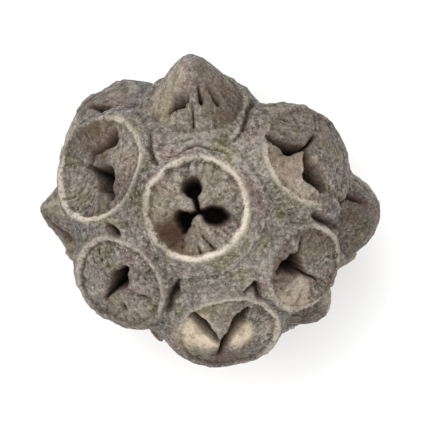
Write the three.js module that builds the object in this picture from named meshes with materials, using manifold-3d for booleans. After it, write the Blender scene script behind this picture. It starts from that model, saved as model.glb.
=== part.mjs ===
// A dried woody seed ball: a head of gum-nut capsules that grew fused together round one stalk.
// Each capsule is a short cup with a raised rim. Inside the rim a disc or a dome splits into three
// valves, and the slits between the valves are where the seed fell out.
// Millimetres and degrees. +Z is up, away from the stalk, and the ball rests on z = 0 on the worn rims
// of its lowest capsules. The origin is under the middle of its outline.
import * as THREE from "three";
import { mergeVertices } from "three/addons/utils/BufferGeometryUtils.js";
import Module from "manifold-3d";

const wasm = await Module();
wasm.setup();

// The heart is the fused wood in the middle. Capsules are placed from its centre.
const HEART_RADIUS = 13.4;
const HEART_TOP = 15.8;
const HEART_BOTTOM = 9.6;
const HEART_FULLNESS = 3; // 2 is an ellipsoid, more is squarer at the shoulders
const STALK_ROOT = -4.5; // height, from the heart's centre, of the point that every capsule grows from
const WORN_DEPTH = 12.7; // how far below the heart's centre the lowest rims are worn flat

// The stalk tore away and left the stubs of its strands in the hollow of the underside. Each has its
// place from the middle of the ball, its radius, and how far down it reaches.
const STRANDS = [
  { x: -2.4, y: 0.9, radius: 1.9, depth: 10.9 },
  { x: 0.2, y: 1.7, radius: 1.7, depth: 11.5 },
  { x: 2.5, y: 0.6, radius: 1.8, depth: 10.6 },
  { x: 1.3, y: -1.6, radius: 1.8, depth: 11.3 },
  { x: -1.3, y: -1.5, radius: 1.7, depth: 11.7 },
];
const STRAND_TAPER = 1.2; // a strand is this much thicker at its root
const STRAND_SIDES = 7;

// Radii across a capsule, as shares of its rim's radius.
const STEM = 0.45; // the stem, where it meets the stalk
const SHOULDER = 0.95; // halfway up, where the stem has widened to the cup
const SKIRT = 1.15; // the cup spreads here and runs into the next one
const NECK = 1.06; // just below the rim
const LIP_OUTER = 0.97; // outer edge of the rim's top
const LIP_INNER = 0.92; // inner edge of the rim's top
const DISC_EDGE = 0.86; // where the disc starts, at the bottom of the groove inside the rim
const DISC_MIDDLE = 0.6;
const DISC_HEART = 0.28;

// Depths below the rim.
const STEM_SHORT = 2; // the stem stops this far short of the point that the capsules grow from
const SHOULDER_SHARE = 0.55; // share of the capsule's length
const SKIRT_SHARE = 0.24;
const NECK_DEPTH = 1.1;
const LIP_ROUNDING = 0.15;
const LIP_SLOPE = 0.05;
const GROOVE_DEPTH = 0.55;
const SLIT_DEPTH = 4.2;

const SLIT_NECK = 0.25; // half the width of a slit where it meets the others
const WHOLE_TIP = 2.5; // a dome that rises this much still has its tip
const TIP_START = 0.24; // share of the rim at which the slits of a whole tip start

// azimuth and polar place the rim's centre, reach is its distance from the heart's centre, and rim is
// its radius. dome is the height of the valves' tip over the rim, and round is how full the dome is,
// 1 for a cone. lean, where there is one, tips the capsule outwards. Each slit has its direction round
// the capsule, 0 pointing away from the top of the ball, then half its width, then the share of the rim
// that it runs out to. A slit that stands alone also has the share that it starts from.
const TOP_CAPSULE = {
  azimuth: 144.5, polar: 5.9, reach: 16.9, rim: 6.2, dome: 0.1, round: 2,
  slits: [[315, 1.2, 0.68], [67, 1.2, 0.56], [203, 1.35, 0.6]],
};
const UPPER_RING = [
  {
    azimuth: 95.5, polar: 54, reach: 16.7, rim: 6.2, dome: 6.4, round: 1.6, lean: 12,
    slits: [[150, 0.6, 0.72], [228, 0.4, 0.7], [15, 0.4, 0.7]],
  },
  {
    azimuth: 156.5, polar: 52.5, reach: 17.4, rim: 6.4, dome: -0.8, round: 2,
    slits: [[150, 1.35, 0.6], [281, 0.85, 0.7], [35, 0.4, 0.6]],
  },
  {
    azimuth: 218.5, polar: 51.3, reach: 17.1, rim: 6, dome: 1, round: 1.6, lean: 2,
    slits: [[194, 0.8, 0.56], [13, 0.8, 0.56], [118, 0.3, 0.5]],
  },
  {
    azimuth: 279, polar: 54.5, reach: 16.9, rim: 6.3, dome: 2.2, round: 1.5, lean: 4,
    slits: [[232, 0.75, 0.8], [146, 0.75, 0.68], [0, 0.4, 0.6]],
  },
  {
    azimuth: 331.5, polar: 48, reach: 16.9, rim: 5.3, dome: 0.8, round: 1.6, lean: 2,
    slits: [[196, 1.15, 0.66], [85, 0.45, 0.66], [335, 0.4, 0.6]],
  },
  {
    azimuth: 31, polar: 50.5, reach: 17.3, rim: 6.3, dome: 1.9, round: 2,
    slits: [[140, 0.85, 0.76], [245, 0.9, 0.76], [10, 0.4, 0.5]],
  },
];
const WIDEST_RING = [
  {
    azimuth: 359, polar: 86, reach: 16.5, rim: 6.1, dome: 4, round: 1.9,
    slits: [[175, 0.7, 0.7], [55, 0.5, 0.7], [295, 0.5, 0.7]],
  },
  {
    azimuth: 41, polar: 97, reach: 14.7, rim: 4.8, dome: 2.7, round: 1.4,
    slits: [[30, 0.6, 0.7], [150, 0.6, 0.6], [270, 0.8, 0.7]],
  },
  {
    azimuth: 88, polar: 94, reach: 14.2, rim: 4.8, dome: 2.8, round: 1.3,
    slits: [[80, 0.7, 0.7], [200, 0.5, 0.7], [320, 0.6, 0.6]],
  },
  {
    azimuth: 134.5, polar: 83, reach: 17.2, rim: 5.9, dome: 2.4, round: 2,
    slits: [[165, 0.7, 0.7], [45, 0.9, 0.6], [285, 0.6, 0.7]],
  },
  {
    azimuth: 178, polar: 90, reach: 16, rim: 5.7, dome: 4, round: 1.2,
    slits: [[10, 0.8, 0.7], [130, 0.5, 0.7], [250, 0.6, 0.7]],
  },
  {
    azimuth: 216, polar: 95, reach: 14.9, rim: 5, dome: 2.6, round: 1.4,
    slits: [[60, 0.9, 0.7], [180, 0.7, 0.6], [300, 0.7, 0.7]],
  },
  {
    azimuth: 250, polar: 89, reach: 14, rim: 4.3, dome: 2, round: 1.4,
    slits: [[20, 0.6, 0.7], [140, 0.8, 0.6], [260, 0.8, 0.7]],
  },
  {
    azimuth: 283, polar: 95, reach: 14.7, rim: 4.5, dome: 2.8, round: 1.3,
    slits: [[90, 0.6, 0.7], [210, 0.7, 0.7], [330, 0.5, 0.7]],
  },
  {
    azimuth: 318, polar: 88, reach: 15.7, rim: 5.1, dome: 2.9, round: 1.5,
    slits: [[50, 0.8, 0.7], [170, 0.6, 0.7], [290, 0.7, 0.6]],
  },
];
// The capsules round the stalk's scar open by one slit. Three of them stand lower and carry the ball.
const SCAR_RING = [
  { azimuth: 18, polar: 130, reach: 13.9, rim: 4.6, dome: 1.2, round: 1.8, lean: 4, slits: [[5, 0.7, 0.6, -0.4]] },
  { azimuth: 64, polar: 123, reach: 13.7, rim: 4.1, dome: 2.2, round: 1.4, lean: 4, slits: [[355, 0.5, 0.6, -0.3]] },
  { azimuth: 108, polar: 124, reach: 13.7, rim: 4.2, dome: 1.6, round: 1.6, lean: 4, slits: [[10, 0.6, 0.6, -0.4]] },
  { azimuth: 152, polar: 130, reach: 13.9, rim: 4.6, dome: 1, round: 1.8, lean: 4, slits: [[350, 0.75, 0.6, -0.4]] },
  { azimuth: 197, polar: 124, reach: 13.7, rim: 4.2, dome: 2.4, round: 1.3, lean: 4, slits: [[0, 0.5, 0.6, -0.2]] },
  { azimuth: 239, polar: 123, reach: 13.5, rim: 4, dome: 1.6, round: 1.6, lean: 4, slits: [[8, 0.6, 0.6, -0.4]] },
  { azimuth: 288, polar: 130, reach: 13.9, rim: 4.6, dome: 1.4, round: 1.8, lean: 4, slits: [[352, 0.65, 0.6, -0.4]] },
  { azimuth: 333, polar: 123, reach: 13.7, rim: 4.1, dome: 2, round: 1.4, lean: 4, slits: [[0, 0.55, 0.6, -0.3]] },
];
const CAPSULES = [TOP_CAPSULE, ...UPPER_RING, ...WIDEST_RING, ...SCAR_RING];

const BIG_RIM = 5.8; // rims from this size up are drawn with more sides
const SIDES_BIG = 21;
const SIDES_SMALL = 14;
const HEART_DETAIL = 4;
const FLAT_ENOUGH = 0.02; // triangles this close to one plane are merged

const rad = THREE.MathUtils.degToRad;
const degrees = THREE.MathUtils.radToDeg;

// Lathes and cylinders stand on +Y. This stands them on +Z.
const STAND_UP = new THREE.Matrix4().makeRotationX(Math.PI / 2);

// A closed mesh as a solid that can be joined and cut.
function solidOf(geometry) {
  const bare = geometry.index ? geometry.toNonIndexed() : geometry.clone();
  bare.deleteAttribute("normal");
  bare.deleteAttribute("uv");
  const merged = mergeVertices(bare, 1e-4);
  return new wasm.Manifold(
    new wasm.Mesh({
      numProp: 3,
      vertProperties: new Float32Array(merged.attributes.position.array),
      triVerts: new Uint32Array(merged.index.array),
    }),
  );
}

// A solid as a mesh geometry again.
function geometryOf(solid) {
  const mesh = solid.getMesh();
  const flat = new THREE.BufferGeometry();
  flat.setAttribute("position", new THREE.BufferAttribute(mesh.vertProperties, 3));
  flat.setIndex(new THREE.BufferAttribute(mesh.triVerts, 1));
  return flat.toNonIndexed();
}

// A unit vector at an angle round +Z from +X, and an angle down from +Z.
function direction(azimuth, polar) {
  const out = Math.sin(rad(polar));
  return new THREE.Vector3(out * Math.cos(rad(azimuth)), out * Math.sin(rad(azimuth)), Math.cos(rad(polar)));
}

// A capsule's own frame has its origin at the rim's centre, +Z out along its axis, and +X away from the
// top of the ball.
function capsuleFrame({ azimuth, polar, reach, lean = 0 }) {
  const centre = direction(azimuth, polar).multiplyScalar(reach);
  const root = new THREE.Vector3(0, 0, STALK_ROOT);
  const growth = new THREE.Vector3().subVectors(centre, root);
  const tilt = degrees(growth.angleTo(new THREE.Vector3(0, 0, 1)));
  const axis = direction(azimuth, tilt + lean);
  const side = direction(azimuth + 90, 90);
  const away = new THREE.Vector3().crossVectors(side, axis);
  return { matrix: new THREE.Matrix4().makeBasis(away, side, axis).setPosition(centre), length: growth.length() };
}

// The height of the disc over the rim, at a share of the rim's radius.
function domeHeight({ dome, round }, share) {
  return -GROOVE_DEPTH + (dome + GROOVE_DEPTH) * (1 - Math.pow(share / DISC_EDGE, round));
}

// One capsule, turned round its axis: the stem, the cup, its rim, the groove and the disc or dome.
function capsuleSolid(capsule, { matrix, length }) {
  const { rim } = capsule;
  const profile = [
    [0, STEM_SHORT - length],
    [STEM, STEM_SHORT - length],
    [SHOULDER, -SHOULDER_SHARE * length],
    [SKIRT, -SKIRT_SHARE * length],
    [NECK, -NECK_DEPTH],
    [1, -LIP_ROUNDING],
    [LIP_OUTER, 0],
    [LIP_INNER, -LIP_SLOPE],
    [DISC_EDGE, -GROOVE_DEPTH],
    [DISC_MIDDLE, domeHeight(capsule, DISC_MIDDLE)],
    [DISC_HEART, domeHeight(capsule, DISC_HEART)],
    [0, domeHeight(capsule, 0)],
  ].map(([share, height]) => new THREE.Vector2(share * rim, height));
  const sides = rim >= BIG_RIM ? SIDES_BIG : SIDES_SMALL;
  return solidOf(new THREE.LatheGeometry(profile, sides).applyMatrix4(STAND_UP).applyMatrix4(matrix));
}

// The tool for one slit: narrow at the capsule's middle, wide and round at its outer end.
function slitTool({ rim, dome }, [angle, halfWidth, out, start], { matrix }) {
  const meeting = dome > WHOLE_TIP ? rim * TIP_START : -SLIT_NECK;
  const inner = start ? rim * start : meeting;
  const outer = rim * out - halfWidth;
  const outline = new THREE.Shape();
  outline.moveTo(inner, -SLIT_NECK);
  outline.lineTo(outer, -halfWidth);
  outline.absarc(outer, 0, halfWidth, -Math.PI / 2, Math.PI / 2, false);
  outline.lineTo(inner, SLIT_NECK);
  const depth = SLIT_DEPTH + Math.max(dome, 0) + 1;
  const tool = new THREE.ExtrudeGeometry(outline, { depth, bevelEnabled: false, curveSegments: 2 });
  return solidOf(tool.translate(0, 0, -SLIT_DEPTH).rotateZ(rad(angle)).applyMatrix4(matrix));
}

// The heart is a sphere pushed out to a fuller shape, lower at the bottom than at the top.
function heartSolid() {
  const ball = new THREE.IcosahedronGeometry(1, HEART_DETAIL);
  const place = ball.attributes.position;
  for (let i = 0; i < place.count; i++) {
    const out = new THREE.Vector3().fromBufferAttribute(place, i).normalize();
    const height = out.z > 0 ? HEART_TOP : HEART_BOTTOM;
    const across = Math.pow(Math.hypot(out.x, out.y) / HEART_RADIUS, HEART_FULLNESS);
    const along = Math.pow(Math.abs(out.z) / height, HEART_FULLNESS);
    out.multiplyScalar(Math.pow(across + along, -1 / HEART_FULLNESS));
    place.setXYZ(i, out.x, out.y, out.z);
  }
  return solidOf(ball);
}

function strandSolid({ x, y, radius, depth }) {
  const strand = new THREE.CylinderGeometry(radius * STRAND_TAPER, radius, depth, STRAND_SIDES);
  return solidOf(strand.applyMatrix4(STAND_UP).rotateZ(x + y).translate(x, y, -depth / 2));
}

// Everything below the height that the lowest rims are worn to.
function wornAway() {
  const side = 60;
  return solidOf(new THREE.BoxGeometry(side, side, side).translate(0, 0, -WORN_DEPTH - side / 2));
}

function seedBall() {
  const frames = CAPSULES.map(capsuleFrame);
  const capsules = CAPSULES.map((capsule, i) => capsuleSolid(capsule, frames[i]));
  const slits = CAPSULES.flatMap((capsule, i) => capsule.slits.map((slit) => slitTool(capsule, slit, frames[i])));
  const grown = [...capsules, ...STRANDS.map(strandSolid)].reduce((ball, piece) => ball.add(piece), heartSolid());
  const split = slits.reduce((ball, slit) => ball.subtract(slit), grown);
  return split.subtract(wornAway()).simplify(FLAT_ENOUGH);
}

const geometry = geometryOf(seedBall());
geometry.computeBoundingBox();
const { min, max } = geometry.boundingBox;
geometry.translate(-(min.x + max.x) / 2, -(min.y + max.y) / 2, -min.z);
geometry.computeVertexNormals();

const weatheredWood = new THREE.MeshStandardMaterial({ color: 0x7f766d, roughness: 0.9, metalness: 0 });
const ball = new THREE.Mesh(geometry, weatheredWood);
ball.name = "seed_ball";

const group = new THREE.Group();
group.add(ball);
export default group;
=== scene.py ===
# %% [markdown]
# # A ball of fused gumnut capsules
# The object is a dry, woody seed head about 40 mm across. Two dozen capsules grew so close together
# that their walls fused into one ball. Each capsule is a short cup with a pale rim. Inside the rim lies
# a disc or a pointed dome, split into three valves by dark slits.
#
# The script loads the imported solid, looks at it from above as the photo does, and then replaces it with
# a finer mesh that keeps its form. Separate cups could be joined by booleans, but that leaves hard seams,
# and smoothing them away melts the fine rims. So the mesh starts as one sphere, and every vertex is pushed
# out or in along its own ray, by one formula for all the capsules.

# %% Load the frame
import math

import bmesh
import bpy
import numpy as np
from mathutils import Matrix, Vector, noise


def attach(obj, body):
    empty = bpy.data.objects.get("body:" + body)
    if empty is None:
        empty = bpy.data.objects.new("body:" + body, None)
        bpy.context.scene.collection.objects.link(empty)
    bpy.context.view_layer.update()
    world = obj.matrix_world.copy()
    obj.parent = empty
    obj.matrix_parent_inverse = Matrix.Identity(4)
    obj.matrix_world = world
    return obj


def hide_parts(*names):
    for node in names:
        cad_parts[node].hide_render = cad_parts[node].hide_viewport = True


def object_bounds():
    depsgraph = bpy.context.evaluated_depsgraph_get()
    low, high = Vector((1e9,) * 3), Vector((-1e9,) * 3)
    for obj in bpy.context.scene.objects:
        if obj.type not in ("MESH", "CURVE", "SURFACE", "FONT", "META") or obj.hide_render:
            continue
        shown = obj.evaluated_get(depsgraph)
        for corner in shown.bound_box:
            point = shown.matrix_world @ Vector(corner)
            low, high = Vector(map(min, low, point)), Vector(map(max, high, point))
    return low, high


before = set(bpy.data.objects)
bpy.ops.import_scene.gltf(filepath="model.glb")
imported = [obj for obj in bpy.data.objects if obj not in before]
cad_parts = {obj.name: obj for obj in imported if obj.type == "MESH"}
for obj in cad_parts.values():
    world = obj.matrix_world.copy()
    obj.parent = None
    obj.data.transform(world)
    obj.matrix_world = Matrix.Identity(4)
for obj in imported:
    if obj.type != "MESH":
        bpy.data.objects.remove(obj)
cad_low, cad_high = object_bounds()
MM = 0.001
print("solid's box in mm:", [round(side / MM, 2) for side in cad_high - cad_low])

# %% [markdown]
# ## The view
# The photo looks straight down on the ball, from far enough away that its outline shows hardly any
# perspective. A long lens from half a metre does the same. The ball is small in the photo, so the camera
# takes in only a square round it. A camera that isn't turned already looks down, with +Y up.

# %% Camera
PHOTO_PIXEL = 0.408 * MM  # one pixel of the photo, on the ball
VIEW_PIXELS = 122  # the square of the photo that the view takes in
VIEW_SHIFT = Vector((0.4, 0.1)) * PHOTO_PIXEL  # from the ball's middle to the square's middle
LENS = 400
SENSOR = 36
MID_HEIGHT = 15 * MM

camera_data = bpy.data.cameras.new("camera")
camera_data.lens = LENS
camera_data.sensor_width = SENSOR
camera = bpy.data.objects.new("camera", camera_data)
distance = VIEW_PIXELS * PHOTO_PIXEL * LENS / SENSOR
camera.location = (VIEW_SHIFT.x, VIEW_SHIFT.y, MID_HEIGHT + distance)
bpy.context.collection.objects.link(camera)
bpy.context.scene.camera = camera
print("camera height in mm:", round(camera.location.z / MM))

# %% [markdown]
# ## The studio
# The photo has a white ground and soft light from everywhere, a little stronger from the upper left. A
# picture of a real room could light the ball, but plain lamps are easier to set. One large soft lamp
# stands at the upper left, a weaker one fills the other side, and the world lights the rest.

# %% Floor and light
scene = bpy.context.scene
scene.view_settings.view_transform = "Standard"

FLOOR_SIZE = 3.0
ROOM_LIGHT = 1.09
floor_mesh = bpy.data.meshes.new("floor")
shape = bmesh.new()
bmesh.ops.create_grid(shape, x_segments=1, y_segments=1, size=FLOOR_SIZE / 2)
shape.to_mesh(floor_mesh)
shape.free()
floor = bpy.data.objects.new("floor", floor_mesh)
scene.collection.objects.link(floor)

paper = bpy.data.materials.new("pale paper")
paper.use_nodes = True
paper_shader = paper.node_tree.nodes["Principled BSDF"]
paper_shader.inputs["Base Color"].default_value = (0.93, 0.93, 0.93, 1)
paper_shader.inputs["Roughness"].default_value = 0.9
floor_mesh.materials.append(paper)


def soft_lamp(name, place, size, power):
    """A square lamp that faces the ball."""
    data = bpy.data.lights.new(name, "AREA")
    data.size = size
    data.energy = power
    lamp = bpy.data.objects.new(name, data)
    lamp.location = place
    aim = Vector((0, 0, MID_HEIGHT)) - Vector(place)
    lamp.rotation_euler = aim.to_track_quat("-Z", "Y").to_euler()
    scene.collection.objects.link(lamp)
    return lamp


soft_lamp("main lamp", (-0.40, 0.38, 0.62), 0.90, 4.2)
soft_lamp("fill lamp", (0.45, -0.35, 0.60), 0.90, 1.4)

world = bpy.data.worlds.new("soft room")
world.use_nodes = True
room = world.node_tree.nodes["Background"]
room.inputs["Color"].default_value = (1, 1, 1, 1)
room.inputs["Strength"].default_value = ROOM_LIGHT
scene.world = world

# %% [markdown]
# ## The capsules
# Each capsule is placed by two angles and a distance from the middle of the ball, in degrees and
# millimetres, as in the solid. `rim` is the radius of its rim. `dome` is how high the middle of the disc
# stands over the rim, `round` how blunt it is, and `groove` how deep the edge of the disc lies below the
# rim. `lean` and `swing` turn a capsule on its own spot, outwards and sideways.
#
# The slits could be cut as plain wedges, but dried valves curl, and no slit is like another. So each slit
# is a chain of points on the disc, with half the slit's width at each. Narrow, wide and narrow again
# makes an eye, a wide end makes a round hole, and less than nothing makes a faint crack. On the capsules
# that the photo hides, `drop` makes a plain slit from a direction.
#
# `pale`, `stain` and `bleach` list directions round the capsule: where a valve is worn pale, where the
# wood is stained brown, and where the rim is bleached. A `patch` is one round spot, pale or, with an
# amount below zero, dark. `worn` lists the directions in which the groove inside the rim is gone.

# %% The capsules' table
HEART = Vector((-0.221, -0.505, 12.7))  # the heart's centre in the ball's frame, mm
HEART_RADIUS = 13.4
HEART_TOP = 15.8
HEART_BOTTOM = 9.6
HEART_FULLNESS = 3
STALK_ROOT = -4.5
SLIT_NECK = 0.2


def drop(angle, half_width, first, last):
    """A slit that runs from one distance to another in one direction, and widens on its way."""
    a = math.radians(angle)
    near = (first * math.cos(a), first * math.sin(a), SLIT_NECK)
    far = (last * math.cos(a), last * math.sin(a), half_width)
    return [near, far]


TOP_CAPSULE = dict(
    place=(144.5, 5.9, 16.9), rim=6.2, dome=0.1, round=2, groove=0.5,
    slits=[
        [(-0.5, 0.1, 0.24), (0.8, -1.1, 0.34), (1.6, -1.75, 1.1), (1.75, -1.8, 1.2)],
        [(-0.5, 0.1, 0.22), (0.0, 1.2, 0.4), (0.9, 1.9, 0.8)],
        [(0.3, 1.6, 0.65), (0.2, 2.1, 0.9), (-0.4, 2.9, 0.35)],
        [(-0.5, 0.1, 0.24), (-1.4, -0.25, 0.5), (-2.2, -0.5, 1.15)],
        [(-2.2, -0.5, 1.15), (-2.7, -0.65, 1.15), (-3.5, -1.1, 0.55)],
        [(-2.6, 2.2, -0.04), (-4.4, 2.8, -0.01)],
        [(-2.9, 3.6, -0.06), (-3.7, 4.1, -0.03)],
        [(-0.9, 3.6, -0.06), (-1.4, 4.6, -0.04)],
    ],
    pale=[(135, 0.12), (30, 0.2), (260, 0.1)], patch=[(0.6, 4.2, 2.2, -0.85)], stain=[(84, 0.9)],
    bleach=[(130, 1.0), (60, 0.5), (350, 0.75), (270, 0.7), (200, 0.9)],
)
UPPER_RING = [
    dict(
        place=(96.3, 52.5, 16.7), rim=6.05, dome=7.4, round=1.5, lean=3, groove=0.12,
        slits=[
            [(-3.0, 0.7, 0.12), (-3.0, 1.3, 0.34), (-2.8, 2.3, 0.3), (-2.9, 3.0, 0.05)],
            [(-2.3, -0.6, 0.04), (-3.1, -0.8, 0.2)],
            [(-2.3, -1.8, 0.02), (-2.8, -2.5, 0.16)],
            [(-3.6, 0.3, -0.02), (-4.7, 0.4, 0.02)],
        ],
        pale=[(110, 0.25)], stain=[(235, 0.6)], bleach=[(180, 0.1)],
        worn=[(0, 1), (60, 1), (120, 1), (180, 0.8), (240, 1), (300, 1)],
    ),
    dict(
        place=(156.5, 52.5, 17.4), rim=6.4, dome=-0.8, round=2, groove=0.4,
        slits=[
            [(2.6, 0.2, 0.2), (-0.6, 0.5, 1.3), (-1.2, 1.2, 1.25), (-3.3, 2.5, 0.3)],
            [(2.4, 0.2, 0.18), (2.5, -1.4, 0.2), (1.0, -2.8, 0.25), (0.55, -3.6, 0.7), (0.5, -4.4, 0.3)],
        ],
        worn=[(330, 0.8), (290, 0.5)],
        pale=[(215, 0.12)], stain=[(310, 0.75), (140, 0.5)],
        bleach=[(42, 0.6), (103, 0.75), (150, 0.4), (216, 0.5), (260, 0.4)],
    ),
    dict(
        place=(217.4, 48.6, 17.1), rim=6.0, dome=1, round=1.6, lean=0.3, swing=7.6, groove=0.4,
        slits=[
            [(3.0, 0.1, 0.1), (-0.8, -0.3, 1.05), (-2.3, -0.7, 0.4)],
            [(-1.25, 2.5, 0.0), (-1.7, 3.7, 0.08)],
            [(1.5, 2.2, 0.15), (1.8, 2.5, 0.2)],
        ],
        pale=[(60, 0.1)], patch=[(-0.5, -0.3, 2.6, -0.35)], stain=[(30, 0.25)],
        bleach=[(267, 0.5), (225, 0.4), (180, 0.45), (140, 0.3), (310, 0.2)],
    ),
    dict(
        place=(279, 54.5, 16.9), rim=6.3, dome=2.2, round=1.5, lean=4, groove=0.3,
        slits=[
            [(0.7, -0.9, 0.13), (-0.85, -0.25, 0.32), (-3.0, 1.65, 0.68), (-3.6, 2.7, 0.28)],
            [(-0.5, -0.9, 0.14), (-1.4, -1.5, 0.36), (-2.9, -2.8, 0.6), (-3.9, -3.7, 0.3)],
            [(0.7, -0.9, 0.13), (2.6, -1.3, 0.1)],
        ],
        pale=[(247, 1.0), (185, 0.12)], patch=[(-1.0, 1.6, 1.9, 1.0)],
        stain=[(350, 0.7), (60, 0.1)],
        bleach=[(180, 0.5), (120, 0.6), (75, 0.5), (225, 0.4)],
    ),
    dict(
        place=(331.5, 48, 16.9), rim=5.3, dome=0.8, round=1.6, lean=2, groove=0.3,
        slits=[
            [(-0.7, -0.2, 0.4), (-1.9, -0.2, 1.15), (-2.9, -1.0, 0.7), (-3.3, -1.8, 0.3)],
            [(-1.0, -0.3, 0.15), (2.8, -0.5, 0.0)],
            [(-1.9, 0.6, 0.2), (-2.4, 3.0, 0.02)],
        ],
        pale=[(280, 0.42)], stain=[(205, 0.75), (98, 0.6), (150, 0.25)],
        bleach=[(88, 0.45), (60, 0.3), (262, 0.5), (300, 0.4)],
        worn=[(0, 0.9), (330, 0.7), (180, 0.7), (30, 0.6)],
    ),
    dict(
        place=(31, 50.5, 17.3), rim=6.3, dome=1.9, round=2, groove=0.2,
        slits=[
            [(-0.7, 0.9, 0.2), (-1.5, -0.3, 0.45), (-1.8, -1.9, 1.0), (-0.9, -4.0, 0.55)],
            [(-0.7, 0.9, 0.2), (-2.7, 1.9, 0.75), (-3.8, 4.5, 0.2)],
            [(-0.7, 0.9, 0.15), (1.5, 1.6, 0.1)],
        ],
        pale=[(195, 0.35), (222, 0.2)], stain=[(110, 0.4), (50, 0.35), (160, 0.4)],
        bleach=[(175, 0.6), (205, 0.55), (145, 0.25)],
        worn=[(90, 0.9), (45, 1), (0, 1), (315, 0.8)],
    ),
]
WIDEST_RING = [
    dict(
        place=(361, 86, 16.5), rim=5.8, dome=4, round=2.3, groove=0.3,
        slits=[drop(150, 0.3, 3.0, 4.2), drop(55, 0.5, 0.3, 3.8), drop(295, 0.5, 0.3, 3.8)],
        pale=[(60, 0.2)], stain=[(170, 0.5), (240, 0.35)], bleach=[(140, 0.15)],
        worn=[(180, 1), (120, 0.8), (240, 0.8)],
    ),
    dict(
        place=(41, 97, 14.7), rim=4.8, dome=2.7, round=1.4, groove=0.45,
        slits=[drop(30, 0.6, 0.2, 2.8), drop(150, 0.5, 0.2, 2.3), drop(270, 0.7, 0.2, 2.5)],
        pale=[(90, 0.3)], stain=[(300, 0.3)], bleach=[(80, 0.5), (300, 0.5)],
    ),
    dict(
        place=(88, 94, 14.2), rim=4.8, dome=2.8, round=1.3, groove=0.45,
        slits=[drop(80, 0.6, 0.2, 2.6), drop(200, 0.5, 0.2, 2.9), drop(320, 0.6, 0.2, 2.3)],
        pale=[(140, 0.5)], stain=[(30, 0.3)], bleach=[(20, 0.5), (90, 0.6)],
    ),
    dict(
        place=(139.5, 82.5, 17.6), rim=6.15, dome=2.4, round=2, groove=0.15,
        slits=[[(-1.4, -0.9, 0.2), (-3.3, -1.8, 0.6)], drop(45, 0.8, 0.3, 2.7), drop(300, 0.6, 0.5, 3.5)],
        pale=[(100, 0.3)], stain=[(220, 0.4)], bleach=[(20, 0.3)],
        worn=[(180, 1), (120, 1), (240, 1)],
    ),
    dict(
        place=(177.3, 90, 16), rim=5.7, dome=4, round=1.35, groove=0.3,
        slits=[drop(10, 0.7, 1.0, 3.2), drop(110, 0.5, 1.4, 3.5), drop(290, 0.6, 1.2, 3.4)],
        pale=[(190, 0.3)], stain=[(70, 0.3)], bleach=[(30, 0.3), (330, 0.4)],
    ),
    dict(
        place=(216, 95, 14.4), rim=4.8, dome=2.6, round=1.4, groove=0.5,
        slits=[drop(60, 0.7, 0.2, 2.6), drop(180, 0.5, 0.2, 2.3), drop(300, 0.6, 0.2, 2.8)],
        pale=[(120, 0.45)], stain=[(0, 0.5)], bleach=[(60, 0.7), (280, 0.5)],
    ),
    dict(
        place=(250, 89, 14), rim=4.3, dome=2, round=1.4, groove=0.5,
        slits=[drop(20, 0.6, 0.3, 2.4), drop(140, 0.8, 0.3, 1.8), drop(260, 0.8, 0.3, 2.2)],
        pale=[(320, 0.4)], stain=[(200, 0.4)], bleach=[(0, 0.6), (120, 0.5)],
    ),
    dict(
        place=(283, 95, 14.7), rim=4.5, dome=2.8, round=1.3, groove=0.45,
        slits=[drop(90, 0.5, 0.2, 2.5), drop(210, 0.6, 0.2, 2.4), drop(330, 0.5, 0.2, 2.6)],
        pale=[(30, 0.4)], stain=[(270, 0.3)], bleach=[(40, 0.6), (320, 0.5)],
    ),
    dict(
        place=(319.5, 88, 15.4), rim=4.7, dome=3.3, round=1.5, groove=0.3,
        slits=[drop(50, 0.6, 0.3, 2.9), drop(290, 0.6, 0.3, 2.4), drop(350, 0.5, 0.5, 3.0)],
        pale=[(110, 0.3)], stain=[(230, 0.3)], bleach=[(60, 0.5), (330, 0.4)],
    ),
]


def scar_capsule(place, rim, dome, round, slit):
    """A capsule of the ring round the stalk's scar, which opens by one slit."""
    return dict(
        place=place, rim=rim, dome=dome, round=round, lean=4, groove=0.45,
        slits=[drop(*slit)], pale=[(slit[0] + 80, 0.8), (slit[0] - 70, 0.5)],
        stain=[(slit[0] + 180, 0.5)], bleach=[(0, 0.9), (75, 0.8), (150, 0.8), (225, 0.8), (290, 0.8)],
    )


SCAR_RING = [
    scar_capsule((18, 130, 13.9), 4.6, 1.2, 1.8, (5, 0.7, -1.8, 2.1)),
    scar_capsule((64, 123, 13.7), 4.1, 2.2, 1.4, (355, 0.5, -1.2, 2.0)),
    scar_capsule((108, 124, 13.7), 4.2, 1.6, 1.6, (10, 0.6, -1.7, 1.9)),
    scar_capsule((152, 130, 13.9), 4.6, 1.0, 1.8, (350, 0.75, -1.8, 2.0)),
    scar_capsule((197, 124, 13.7), 4.2, 2.4, 1.3, (0, 0.5, -0.8, 2.0)),
    scar_capsule((239, 123, 13.5), 4.0, 1.6, 1.6, (8, 0.6, -1.6, 1.8)),
    scar_capsule((288, 130, 13.9), 4.6, 1.4, 1.8, (352, 0.65, -1.8, 2.1)),
    scar_capsule((333, 123, 13.7), 4.1, 2.0, 1.4, (0, 0.55, -1.2, 1.9)),
]
CAPSULES = [TOP_CAPSULE, *UPPER_RING, *WIDEST_RING, *SCAR_RING]
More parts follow.
